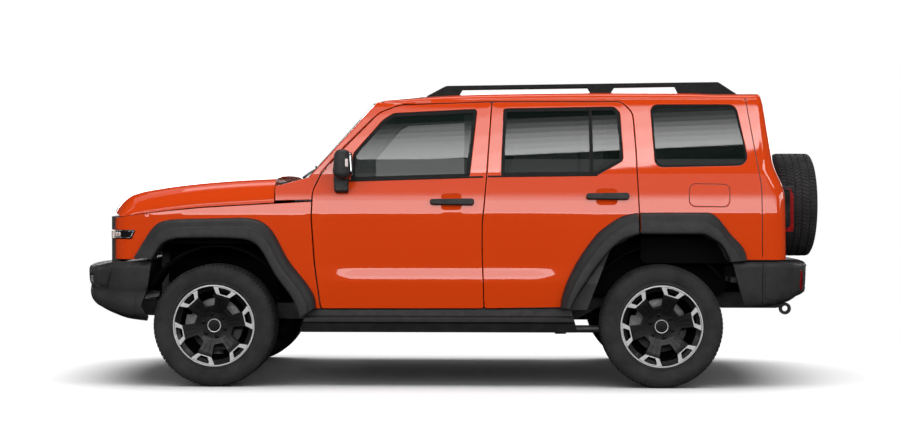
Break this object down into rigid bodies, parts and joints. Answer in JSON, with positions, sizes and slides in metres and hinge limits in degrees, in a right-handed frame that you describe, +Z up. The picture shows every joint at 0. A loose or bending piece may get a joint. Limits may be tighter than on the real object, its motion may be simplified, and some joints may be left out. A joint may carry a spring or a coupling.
{
  "type": "five-door sport utility vehicle",
  "caption": "Five-door off-road estate car with separate doors, bonnet, tailgate, spare wheel, ladder frame and steered front wheels.",
  "frame": {"origin": "on the ground, in the middle of the length and width", "axes": "+Z up, +X towards the rear, so the front points to -X and the left side to -Y"},
  "size_m": [4.76, 2.12, 1.8858],
  "materials": {
    "paint": "gloss",
    "plastic": "matte",
    "glass": "gloss",
    "lens": "gloss",
    "rubber": "matte",
    "alloy": "satin",
    "steel": "satin",
    "fabric": "matte"
  },
  "bodies": {
    "body": {"frame_rails": "steel", "cross_members": "steel", "floor_pan": "steel", "body_side_left": "paint", "body_side_right": "paint", "roof_panel": "paint", "front_wings": "paint", "fixed_glass": "glass", "cowl_panel": "plastic", "grille_panel": "plastic", "headlamps": "lens", "front_bumper": "plastic", "rear_bumper": "plastic", "tail_lamps": "lens", "wheel_flares": "plastic", "side_steps": "plastic", "roof_rails": "plastic", "wheel_liners": "plastic", "engine_gearbox": "steel", "fuel_tank": "steel", "exhaust": "steel", "front_suspension": "steel", "rear_axle": "steel", "seats": "fabric", "dashboard": "plastic", "hinge_brackets": "steel", "tow_eye": "steel"},
    "bonnet": {"bonnet": "paint"},
    "front_door_left": {"front_door_left": "paint", "front_glass_left": "glass", "front_trim_left": "plastic"},
    "front_door_right": {"front_door_right": "paint", "front_glass_right": "glass", "front_trim_right": "plastic"},
    "rear_door_left": {"rear_door_left": "paint", "rear_glass_left": "glass", "rear_trim_left": "plastic"},
    "rear_door_right": {"rear_door_right": "paint", "rear_glass_right": "glass", "rear_trim_right": "plastic"},
    "tailgate": {"tailgate": "paint", "tailgate_glass": "glass", "spare_tyre": "rubber", "spare_rim": "alloy"},
    "steering_wheel": {"steering_wheel": "plastic"},
    "knuckle_left": {"knuckle_left": "steel"},
    "knuckle_right": {"knuckle_right": "steel"},
    "wheel_front_left": {"tyre_front_left": "rubber", "rim_front_left": "alloy"},
    "wheel_front_right": {"tyre_front_right": "rubber", "rim_front_right": "alloy"},
    "wheel_rear_left": {"tyre_rear_left": "rubber", "rim_rear_left": "alloy"},
    "wheel_rear_right": {"tyre_rear_right": "rubber", "rim_rear_right": "alloy"}
  },
  "joints": [
    {"name": "bonnet_hinge", "type": "hinge", "parent": "body", "child": "bonnet", "pos_m": [-1.046, 0, 1.248], "axis": [0, 1, 0], "range_deg": [0, 50]},
    {"name": "front_door_left_hinge", "type": "hinge", "parent": "body", "child": "front_door_left", "pos_m": [-0.76, -0.848, 0.94], "axis": [0, 0, -1], "range_deg": [0, 65]},
    {"name": "front_door_right_hinge", "type": "hinge", "parent": "body", "child": "front_door_right", "pos_m": [-0.76, 0.848, 0.94], "axis": [0, 0, 1], "range_deg": [0, 65]},
    {"name": "rear_door_left_hinge", "type": "hinge", "parent": "body", "child": "rear_door_left", "pos_m": [0.285, -0.848, 0.94], "axis": [0, 0, -1], "range_deg": [0, 65]},
    {"name": "rear_door_right_hinge", "type": "hinge", "parent": "body", "child": "rear_door_right", "pos_m": [0.285, 0.848, 0.94], "axis": [0, 0, 1], "range_deg": [0, 65]},
    {"name": "tailgate_hinge", "type": "hinge", "parent": "body", "child": "tailgate", "pos_m": [2.112, 0.652, 1.056], "axis": [0, 0, 1], "range_deg": [0, 85]},
    {"name": "steer_left", "type": "hinge", "parent": "body", "child": "knuckle_left", "pos_m": [-1.43, -0.745, 0.376], "axis": [0, 0, 1], "range_deg": [-32, 32]},
    {"name": "steer_right", "type": "hinge", "parent": "body", "child": "knuckle_right", "pos_m": [-1.43, 0.745, 0.376], "axis": [0, 0, 1], "range_deg": [-32, 32]},
    {"name": "steering_column", "type": "hinge", "parent": "body", "child": "steering_wheel", "pos_m": [-0.395, -0.385, 1.085], "axis": [0.9135, 0, 0.4067], "range_deg": [-512, 512]},
    {"name": "spin_front_left", "type": "hinge", "parent": "knuckle_left", "child": "wheel_front_left", "pos_m": [-1.43, -0.804, 0.376], "axis": [0, 1, 0], "continuous": true},
    {"name": "spin_front_right", "type": "hinge", "parent": "knuckle_right", "child": "wheel_front_right", "pos_m": [-1.43, 0.804, 0.376], "axis": [0, 1, 0], "continuous": true},
    {"name": "spin_rear_left", "type": "hinge", "parent": "body", "child": "wheel_rear_left", "pos_m": [1.32, -0.804, 0.376], "axis": [0, 1, 0], "continuous": true},
    {"name": "spin_rear_right", "type": "hinge", "parent": "body", "child": "wheel_rear_right", "pos_m": [1.32, 0.804, 0.376], "axis": [0, 1, 0], "continuous": true}
  ],
  "couplings": [
    {"joint": "steer_right", "follows": "steer_left", "ratio": 1},
    {"joint": "steering_column", "follows": "steer_left", "ratio": 16}
  ]
}
